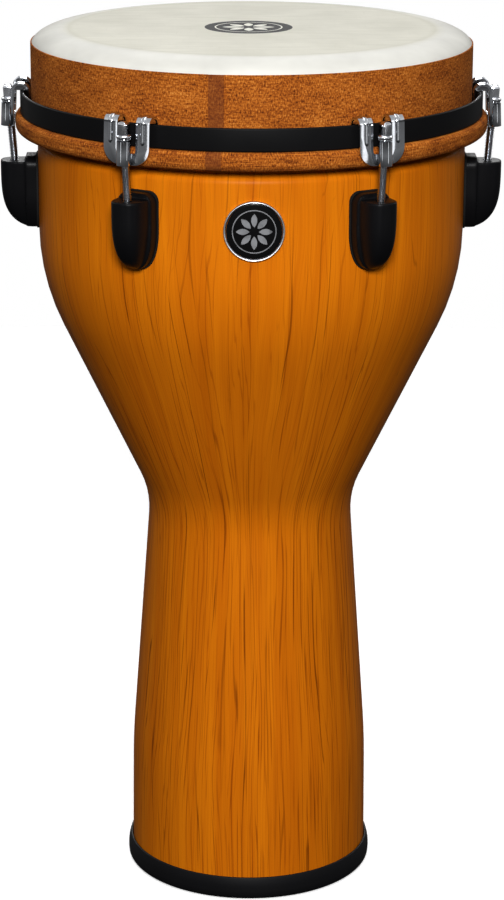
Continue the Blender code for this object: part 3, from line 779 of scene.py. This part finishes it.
def make_collar(wall_cloth, wrap_cloth):
    """The woven wall of the head, and the same cloth wrapped round the flesh hoop."""
    inner = COLLAR_RADIUS - CLOTH
    corners = [
        (COLLAR_RADIUS, COLLAR_TOP, 0.0004),
        (COLLAR_RADIUS, WRAP_TOP - 0.004, 0),
        (inner, WRAP_TOP - 0.004, 0),
        (inner, COLLAR_TOP, 0.0003),
    ]
    wall = rounded(corners, closed=True, step=30)
    angles = seam_angles()
    mesh = lathe("collar_cloth", wall, angles, bulge=seam_bulge)
    collar = add("collar_cloth", mesh, wall_cloth, HEAD, ["head_collar"])
    corners = [
        (WRAP_RADIUS, WRAP_TOP, 0.0036),
        (WRAP_RADIUS, WRAP_BOTTOM, 0.0050),
        (inner, WRAP_BOTTOM, 0.0016),
        (inner, WRAP_TOP - 0.0043, 0),
        (COLLAR_RADIUS + 0.0003, WRAP_TOP - 0.0043, 0),
        (COLLAR_RADIUS + 0.0003, WRAP_TOP, 0.0006),
    ]
    wrap = rounded(corners, closed=True, step=12)
    mesh = lathe("hoop_wrap", wrap, angles, bulge=seam_bulge)
    hoop = add("hoop_wrap", mesh, wrap_cloth, HEAD, ["flesh_hoop"])


def make_counter_hoop(material):
    outer, inner = HOOP_RADIUS, HOOP_RADIUS - HOOP_THICK
    top, bottom = HOOP_HIGH.z, HOOP_LOW.z
    corners = [(outer, top, 0.0009), (outer, bottom, 0.0009), (inner, bottom, 0.0009), (inner, top, 0.0009)]
    outline = rounded(corners, closed=True, step=22.5)
    add("counter_band", lathe("counter_band", outline), material, HEAD, ["counter_hoop"])


# -------------------- hardware of one station
def hook_spine(low_inside, low_outside):
    """The outer line of a claw, from a height inside the hoop, over it, to a height outside."""
    corners = [
        (HOOK_INNER_X + low_inside * math.tan(HOOK_LEAN), low_inside, 0),
        (HOOK_INNER_X, HOOK_CROWN, HOOK_ARCH_ROUND),
        (HOOK_OUTER_X, HOOK_CROWN, HOOK_ARCH_ROUND),
        (HOOK_OUTER_X, low_outside, 0),
    ]
    return rounded(corners, step=7.5)


def rib_mesh(middle):
    """A raised rib that follows one prong over the hoop and runs out in a round end on the plate."""
    path = divided(hook_spine(-0.001, RIB_END), 0.0005)
    reach = [0.0]
    for a, b in zip(path, path[1:]):
        reach.append(reach[-1] + math.dist(a, b))
    outward = offset(path, -1.0)
    work = bmesh.new()
    rings = []
    for point, beyond, along in zip(path, outward, reach):
        near = min(reach[-1] - along, 1.6 * RIB_HALF) / (1.6 * RIB_HALF)
        size = max(math.sqrt(1 - (1 - near) ** 2), 0.08)
        out = Vector((beyond[0] - point[0], beyond[1] - point[1]))
        ring = superellipse(RIB_HALF * size, RIB_PROUD * size, 2.6, 0, math.pi, 12)
        ring += [(-RIB_HALF * size, -RIB_SUNK), (RIB_HALF * size, -RIB_SUNK)]
        placed = [(point[0] + out.x * high, middle + y, point[1] + out.y * high) for y, high in ring]
        rings.append([work.verts.new(place) for place in placed])
    join_rings(work, rings)
    return mesh_of(work, "rib")


def cup(half, top, bottom, corner):
    """A symmetrical outline with two round corners below, open at its top."""
    return rounded([(-half, top, 0), (-half, bottom, corner), (half, bottom, corner), (half, top, 0)])


def hook_mesh():
    """A cast claw: two ribbed prongs that curl over the hoop, a plate, and a sleeve for the rod."""
    spine = hook_spine(-HOOK_TIP_DROP, HOOK_BOTTOM)
    strip = spine + offset(spine, HOOK_PLATE)[::-1]
    half, above = HOOK_WIDTH / 2, 2 * HOOK_CROWN
    front = cup(half, above, HOOK_BOTTOM, HOOK_CORNER)
    opening = cup(HOOK_SLOT_WIDTH / 2, 2 * above, HOOK_SLOT_BOTTOM, HOOK_SLOT_ROUND)
    steps = [
        ("INTERSECT", prism(front, "X", -0.02, 0.02)),
        ("DIFFERENCE", prism(opening, "X", -0.02, 0.02)),
    ]
    inset = HOOK_PLATE / 2
    web_round = HOOK_ARCH_ROUND - 2.5 * inset
    corners = [
        (HOOK_INNER_X + inset, HOOK_WEB_SEAT, 0),
        (HOOK_INNER_X + inset, HOOK_CROWN - inset, web_round),
        (HOOK_OUTER_X - inset, HOOK_CROWN - inset, web_round),
        (HOOK_OUTER_X - inset, HOOK_WEB_SEAT, 0),
    ]
    web = rounded(corners, closed=True)
    middles = [side * (HOOK_SLOT_WIDTH + HOOK_WIDTH) / 4 for side in (-1, 1)]
    for middle in middles:
        steps.append(("UNION", prism(web, "Y", middle - HOOK_WEB_HALF, middle + HOOK_WEB_HALF)))
    sleeve = Matrix.Translation((HOOK_OUTER_X - HOOK_PLATE + SLEEVE_RADIUS, 0, 0))
    rod_in_hook = hook_matrix(0).inverted() @ rod_matrix(0)
    steps += [
        ("UNION", cylinder(SLEEVE_RADIUS, HOOK_BOTTOM, SLEEVE_TOP), sleeve),
        ("DIFFERENCE", cylinder(SLEEVE_BORE, 2 * HOOK_BOTTOM, 0.0), sleeve),
        ("DIFFERENCE", cylinder(NOTCH_RADIUS, 2 * HOOK_BOTTOM, 0.001, 32), rod_in_hook),
    ]
    plate = combine("claw", prism(strip, "Y", -half, half), steps, bevel=0.00034)
    return joined("claw", plate, *(rib_mesh(middle) for middle in middles))


def threaded(length_low, length_high):
    """A right-hand screw thread round Z: rows of points that climb one pitch a turn."""
    around, rows_each = 24, 4
    levels = [THREAD_MINOR, THREAD_MAJOR - 0.00004, THREAD_MAJOR, THREAD_MINOR + 0.00004]
    count = math.ceil((length_high - length_low) / THREAD_PITCH) * rows_each + 2 * rows_each
    work = bmesh.new()
    grid = []
    for i in range(count):
        row = []
        for j in range(around):
            z = length_low + (i / rows_each - 1 + j / around) * THREAD_PITCH
            held = min(max(z, length_low), length_high)
            radius = levels[i % rows_each]
            if z < length_low + 0.0008:
                radius = min(radius, THREAD_MINOR - 0.0002)
            angle = math.tau * j / around
            row.append(work.verts.new((radius * math.cos(angle), radius * math.sin(angle), held)))
        grid.append(row)
    for i in range(count - 1):
        for j in range(around):
            if j < around - 1:
                quad = [grid[i][j], grid[i][j + 1], grid[i + 1][j + 1], grid[i + 1][j]]
            elif i + rows_each + 1 < count:
                quad = [grid[i][j], grid[i + rows_each][0], grid[i + rows_each + 1][0], grid[i + 1][j]]
            else:
                continue
            if max(v.co.z for v in quad) - min(v.co.z for v in quad) > 1e-7:
                work.faces.new(quad)
    bmesh.ops.remove_doubles(work, verts=work.verts, dist=1e-6)
    bmesh.ops.delete(work, geom=[v for v in work.verts if not v.link_faces], context="VERTS")
    bmesh.ops.dissolve_degenerate(work, edges=work.edges, dist=1e-6)
    bmesh.ops.holes_fill(work, edges=[e for e in work.edges if e.is_boundary], sides=0)
    return mesh_of(work, "thread")


def rod_mesh():
    """A tension rod: a square key head with a crown, a flange, a short plain neck and a long thread."""
    square = HEAD_SQUARE / 2
    top = FLANGE_THICK + HEAD_TALL
    corners = [(x * square, y * square, 0.0008) for x, y in ((-1, -1), (1, -1), (1, 1), (-1, 1))]
    head = rounded(corners, closed=True, step=30)
    work = bmesh.new()
    rings = []
    crown = [(FLANGE_THICK - 0.0004, 1.0)]
    for k in range(8):
        t = k / 7 * 0.97
        crown.append((top - HEAD_DOME + HEAD_DOME * t, (1 - t ** 2.3) ** (1 / 2.1)))
    for z, scale in crown:
        rings.append([work.verts.new((x * scale, y * scale, z)) for x, y in head])
    join_rings(work, rings)
    corners = [
        (0, 0, 0),
        (FLANGE_RADIUS, 0, 0.0003),
        (FLANGE_RADIUS, FLANGE_THICK * 0.62, 0.0004),
        (FLANGE_RADIUS - 0.0012, FLANGE_THICK, 0.0004),
        (0, FLANGE_THICK, 0),
    ]
    flange = rounded(corners, step=30)
    steps = [
        ("UNION", lathe("flange", flange, even_angles(48), closed=False)),
        ("UNION", cylinder(THREAD_MINOR, -0.004, 0.0006, 24)),
    ]
    upper = combine("upper", mesh_of(work, "square"), steps)
    return joined("rod", upper, threaded(-ROD_LENGTH + 0.0003, -0.0035))


def washer_mesh():
    outer, inner, top, bottom = 0.0047, 0.003, -0.0003, -0.0014
    corners = [(outer, top, 0.0003), (outer, bottom, 0.0003), (inner, bottom, 0.0002), (inner, top, 0.0002)]
    return lathe("washer", rounded(corners, closed=True, step=30), even_angles(48))


def lug_outline(grow=0.0):
    """The lug's flange from the front: round shoulders on top, and half a superellipse below."""
    half, top = LUG_FLANGE_HALF + grow, LUG_FLANGE_TOP + grow
    corners = [
        (half, LUG_TAPER_Z, 0),
        (half, top, LUG_FLANGE_ROUND),
        (-half, top, LUG_FLANGE_ROUND),
        (-half, LUG_TAPER_Z, 0),
    ]
    shoulders = rounded(corners, step=10)
    drop = LUG_TAPER_Z - LUG_BOTTOM + grow
    below = superellipse(half, drop, LUG_TAPER_POWER, math.pi, math.tau, 36)[1:-1]
    return shoulders + [(y, LUG_TAPER_Z + z) for y, z in below]


def lug_mesh():
    """A moulded lug: a flange against the shell, and a full body in front with a flat top for the rod."""
    work = bmesh.new()
    around, levels = 64, 30
    drop = LUG_BODY_TOP - LUG_BOTTOM
    rings = []
    for i in range(levels + 1):
        t = math.sin(math.pi / 2 * 0.985 * i / levels)
        face = LUG_BACK + (LUG_BODY_FACE - LUG_BACK) * math.sqrt(1 - t ** LUG_DEPTH_POWER)
        wide = LUG_BODY_HALF * math.sqrt(1 - t ** LUG_WIDTH_POWER)
        ring = []
        for x, y in superellipse(1.0, wide, LUG_PLAN_POWER, 0, math.tau, around)[:-1]:
            reach = face - LUG_BODY_CENTRE if x > 0 else LUG_ROOT
            ring.append(work.verts.new((LUG_BODY_CENTRE + x * reach, y, LUG_BODY_TOP - drop * t)))
        rings.append(ring)
    join_rings(work, rings)
    steps = [("UNION", mesh_of(work, "body"))]
    flange = prism(lug_outline(-0.0003), "X", 0.140, LUG_FLANGE_FACE - 0.0002)
    made = linked("lug", combine("lug_solid", flange, steps))
    grid = made.modifiers.new("Grid", "REMESH")
    grid.mode = "VOXEL"
    grid.voxel_size = LUG_VOXEL
    soft = made.modifiers.new("Soft", "SMOOTH")
    soft.factor = 0.5
    soft.iterations = 6
    smooth = applied(made, "lug_smooth")
    # the back follows the shell; the smoothing pulled the edges in a little, so the seat is cut after it
    steps = [
        ("DIFFERENCE", cylinder(LUG_BACK, 0.4, 0.6, 256)),
        ("DIFFERENCE", cylinder(0.0033, -ROD_LENGTH - 0.003, 0.0, 32), rod_matrix(0)),
    ]
    return combine("lug", smooth, steps)


def on_cylinder(points, radius):
    """Points (y, z) laid on a cylinder round the drum's axis, facing +X."""
    return [(radius * math.cos(y / radius), radius * math.sin(y / radius), z) for y, z in points]


def gasket_mesh():
    """A thin sheet under the lug, curved to the shell."""
    outline = lug_outline(0.0005)
    rings = []
    work = bmesh.new()
    for radius in (BOWL_RADIUS + 0.0002, LUG_BACK - 0.0001):
        rings.append([work.verts.new(p) for p in on_cylinder(outline, radius)])
    for i in range(len(outline)):
        k = (i + 1) % len(outline)
        work.faces.new((rings[0][i], rings[0][k], rings[1][k], rings[1][i]))
    for ring in rings:
        face = work.faces.new(ring)
        bmesh.ops.triangulate(work, faces=[face])
    return mesh_of(work, "gasket")


def screw_mesh():
    """A pan-head screw along X, with a cross recess, its head inside the shell."""
    seat = BOWL_RADIUS - WALL - 0.0003
    tall = 0.0024
    corners = [
        (0, seat - tall, 0),
        (0.0042, seat - tall, 0.0014),
        (0.0042, seat, 0.0003),
        (0.0019, seat, 0),
        (0.0019, seat + 0.0112, 0),
        (0, seat + 0.0112, 0),
    ]
    profile = rounded(corners, step=20)
    work = bmesh.new()
    bmesh.ops.create_cube(work, size=1.0)
    bmesh.ops.scale(work, vec=(0.0046, 0.0009, 0.0026), verts=work.verts)
    bmesh.ops.translate(work, vec=(0, 0, seat - tall), verts=work.verts)
    bar = mesh_of(work, "bar")
    steps = [("DIFFERENCE", bar), ("DIFFERENCE", bar.copy(), Matrix.Rotation(math.pi / 2, 4, "Z"))]
    mesh = combine("screw", lathe("screw", profile, even_angles(32), closed=False), steps)
    mesh.transform(Matrix.Rotation(math.pi / 2, 4, "Y"))
    return mesh


def make_stations(chrome, steel, black, gasket, brass):
    claw, rod, washer = hook_mesh(), rod_mesh(), washer_mesh()
    lug, pad, screw = lug_mesh(), gasket_mesh(), screw_mesh()
    for k in range(STATIONS):
        n = k + 1
        line, seat, station = rod_matrix(k), hook_matrix(k), station_matrix(k)
        add(f"claw_{n}", claw.copy(), chrome, f"hook_{n}", [f"hook_{n}"], seat, 32)
        add(f"ring_{n}", washer.copy(), chrome, f"hook_{n}", [f"rod_washer_{n}"], line)
        add(f"rod_{n}", rod.copy(), steel, f"tension_rod_{n}", [f"tension_rod_{n}"], line, 30)
        add(f"lug_body_{n}", lug.copy(), black, ROOT, [f"lug_{n}"], station, 40)
        add(f"lug_pad_{n}", pad.copy(), gasket, ROOT, [f"lug_gasket_{n}"], station)
        for label, height in SCREW_HEIGHTS.items():
            raised = station @ Matrix.Translation((0, 0, height))
            add(f"screw_{label}_{n}", screw.copy(), steel, ROOT, [f"lug_screw_{label}_{n}"], raised)
        nut = frame["nodes"][f"swivel_nut_{n}"]
        nut.data.materials.clear()
        nut.data.materials.append(brass)


# -------------------- badge and print
def on_shell(across, up, height):
    """A point on the shell's front, height above its surface."""
    angle = across / BOWL_RADIUS
    radius = BOWL_RADIUS + height
    return (radius * math.sin(angle), -radius * math.cos(angle), BADGE_Z + up)


def on_film(across, up, height):
    return (PRINT_ASIDE + across, up, FILM_TOP + height)


def ring_patch(name, place, profile, steps=96):
    """A ring or disc laid by place(). Profile points are (radius, height); radius 0 closes the middle."""
    points, faces = [], []
    rows = [[] for _ in profile]
    for i, (radius, height) in enumerate(profile):
        if radius == 0:
            rows[i] = [len(points)] * steps
            points.append(place(0, 0, height))
            continue
        for j in range(steps):
            angle = math.tau * j / steps
            rows[i].append(len(points))
            points.append(place(radius * math.sin(angle), radius * math.cos(angle), height))
    for low, high in zip(rows, rows[1:]):
        for j in range(steps):
            k = (j + 1) % steps
            corners = [low[j], low[k], high[k], high[j]]
            faces.append([c for n, c in enumerate(corners) if c not in corners[:n]])
    return mesh_from(name, points, faces)


def petals(name, place, count, inner, outer, wide, low, high):
    """A generic rosette: lens-shaped petals round a centre, as one mesh of separate raised leaves."""
    work = bmesh.new()
    steps = 14
    for p in range(count):
        turn = math.tau * p / count
        left, right = [], []
        for i in range(steps + 1):
            t = i / steps
            along = inner + (outer - inner) * t
            half = wide * math.sin(math.pi * t) ** 0.8 / 2
            left.append((along, half))
            right.append((along, -half))
        loop = left + right[-2:0:-1]
        s, c = math.sin(turn), math.cos(turn)
        flat = [(a * s + b * c, a * c - b * s) for a, b in loop]
        base = [work.verts.new(place(x, y, low)) for x, y in flat]
        cap = [work.verts.new(place(x, y, high)) for x, y in flat]
        for i in range(len(flat)):
            k = (i + 1) % len(flat)
            work.faces.new((base[i], base[k], cap[k], cap[i]))
        work.faces.new(base[::-1])
        work.faces.new(cap)
    return mesh_of(work, name)


def flat_ring(inner, outer, low, high):
    return [(inner, low), (outer, low), (outer, high), (inner, high), (inner, low)]


def make_badge(bezel, silver, enamel):
    outer, inner = BADGE_RADIUS, BADGE_RADIUS - BADGE_RIM
    rim = [(inner, 0.0004), (outer, 0.0004), (outer, 0.0014)]
    for k in range(1, 8):
        rim.append((outer - BADGE_RIM * k / 8, 0.0014 + 0.0008 * math.sin(math.pi * k / 8)))
    rim += [(inner, 0.0014), (inner, 0.0004)]
    add("badge_bezel", ring_patch("badge_bezel", on_shell, rim), bezel, ROOT, ["badge_rim"])
    dome = inner - 0.0002
    disc = [(0, 0.0004), (dome, 0.0004), (dome, 0.0010)]
    for k in range(1, 8):
        turn = math.pi / 2 * k / 8
        disc.append((dome * math.cos(turn), 0.0010 + 0.0005 * math.sin(turn)))
    disc.append((0, 0.0015))
    add("badge_disc", ring_patch("badge_disc", on_shell, disc), enamel, ROOT, ["badge_face"])
    motif = petals("badge_rosette", on_shell, 8, 0.0030, 0.0118, 0.0040, 0.0011, 0.00168)
    add("badge_rosette", motif, silver, ROOT, ())
    line = flat_ring(0.0136, 0.0143, 0.0010, 0.00152)
    add("badge_line", ring_patch("badge_line", on_shell, line), silver, ROOT, ())


def make_print(ink, paper):
    disc = [(0, -0.00003), (PRINT_RADIUS, -0.00003), (PRINT_RADIUS, 0.00003), (0, 0.00003)]
    add("head_print", ring_patch("head_print", on_film, disc, 128), ink, HEAD, ())
    motif = petals("print_rosette", on_film, 8, 0.0045, 0.0178, 0.0062, 0.00004, 0.00008)
    add("print_rosette", motif, paper, HEAD, ())
    line = flat_ring(0.0222, 0.0232, 0.00004, 0.00008)
    add("print_line", ring_patch("print_line", on_film, line, 128), paper, HEAD, ())


# -------------------- studio
def lamp_of(name, kind, power, way):
    """A lamp in the scene that shines along way."""
    data = bpy.data.lights.new(name, kind)
    data.energy = power
    lamp = linked(name, data)
    lamp.rotation_euler = way.to_track_quat("-Z", "Y").to_euler()
    return lamp


def panel_light(name, place, aim, size, power):
    lamp = lamp_of(name, "AREA", power, Vector(aim) - Vector(place))
    lamp.data.shape = "RECTANGLE"
    lamp.data.size, lamp.data.size_y = size
    lamp.location = place
    lamp.visible_camera = False


def sun_light(name, azimuth, elevation, spread, power):
    """A broad, far lamp. Azimuth is measured from the front towards +X."""
    around, up = math.radians(azimuth), math.radians(elevation)
    to_lamp = Vector((math.sin(around) * math.cos(up), -math.cos(around) * math.cos(up), math.sin(up)))
    lamp_of(name, "SUN", power, -to_lamp).data.angle = math.radians(spread)


def make_studio():
    floor_mesh = lathe("floor", [(0, 0), (FLOOR_RADIUS, 0)], closed=False)
    n = new_material("floor_pale")
    n.set(Base_Color=(FLOOR_PALE, FLOOR_PALE, FLOOR_PALE), Roughness=1.0, Specular_IOR_Level=0.0)
    n.set(Emission_Color=(1.0, 1.0, 1.0), Emission_Strength=FLOOR_GLOW)
    floor_mesh.materials.append(n.owner)
    floor = linked("floor", floor_mesh)
    floor.visible_diffuse = floor.visible_glossy = False  # the drum isn't lit from below

    world = bpy.data.worlds.new("studio")
    bpy.context.scene.world = world
    n = Nodes(world)
    split = n.new("SeparateXYZ")
    n.link(n.new("TexCoord").outputs["Generated"], split.inputs[0])
    height = n.math("MULTIPLY_ADD", split.outputs["Z"], 0.5, 0.5)
    tones = n.ramp(height, *((z / 2 + 0.5, tone) for z, tone in MIRRORED))
    path, strength, mixed = n.new("LightPath"), n.new("Mix"), n.new("MixShader")
    n.link(path.outputs["Is Glossy Ray"], strength.inputs[0])
    n.put(strength.inputs[2], AMBIENT)
    n.link(tones, strength.inputs[3])
    seen, lit = n.tree.nodes["Background"], n.new("Background")
    for background, power in ((seen, 1.0), (lit, strength.outputs[0])):
        n.put(background.inputs["Color"], (1, 1, 1, 1))
        n.put(background.inputs["Strength"], power)
    n.link(path.outputs["Is Camera Ray"], mixed.inputs[0])
    n.link(lit.outputs[0], mixed.inputs[1])
    n.link(seen.outputs[0], mixed.inputs[2])
    n.link(mixed.outputs[0], n.tree.nodes["World Output"].inputs["Surface"])

    for name, values in SUNS.items():
        sun_light(name, *values)
    for name, values in PANELS.items():
        panel_light(name, *values)
    bpy.context.scene.view_settings.view_transform = "Standard"
    bpy.context.scene.view_settings.gamma = CONTRAST


def make_camera():
    data = bpy.data.cameras.new("camera")
    data.lens = CAMERA_LENS
    data.sensor_width = 36.0
    data.clip_end = 100.0
    camera = linked("camera", data)
    x, y = CAMERA_DISTANCE * math.sin(CAMERA_AZIMUTH), -CAMERA_DISTANCE * math.cos(CAMERA_AZIMUTH)
    camera.location = (x, y, CAMERA_HEIGHT)
    camera.rotation_mode = "QUATERNION"
    turn = Matrix.Rotation(CAMERA_AZIMUTH + CAMERA_ASIDE, 4, "Z")
    tilt = Matrix.Rotation(math.pi / 2 - CAMERA_PITCH, 4, "X")
    look = turn @ tilt @ Matrix.Rotation(CAMERA_ROLL, 4, "Z")
    camera.rotation_quaternion = look.to_quaternion()
    bpy.context.scene.camera = camera


make_shell(wood_lacquer(), raw_fibre())
make_foot_ring(powder_black("foot_rubber", 0.50, 900.0, 0.00005, (19, 19, 21), 0.16))
make_film(skin_film())
make_collar(woven("collar_weave", COLLAR_RADIUS), woven("wrap_weave", WRAP_RADIUS, 0.22))
make_counter_hoop(powder_black("hoop_powder", 0.42, 1400.0, 0.00004, (17, 17, 18), 0.1))
make_stations(
    metal("chrome_plate", (216, 219, 224), 0.06),
    metal("bright_zinc", (212, 214, 219), 0.13, 0.1),
    powder_black("lug_moulding", 0.36, 1100.0, 0.00005, (15, 15, 17), 0.16),
    powder_black("gasket_sheet", 0.75, 600.0, 0.00008, (24, 24, 24)),
    metal("turned_brass", (196, 152, 82), 0.28, 0.4),
)
make_badge(
    metal("bezel_satin", (226, 229, 236), 0.30, 0.1),
    metal("brushed_silver", (150, 151, 154), 0.34, 0.3),
    powder_black("badge_enamel", 0.16, 200.0, 0.0, (12, 12, 13)),
)
make_print(printed("print_ink", linear(44, 44, 44)), printed("print_clear", linear(222, 221, 210)))
make_studio()
make_camera()

bpy.context.view_layer.update()
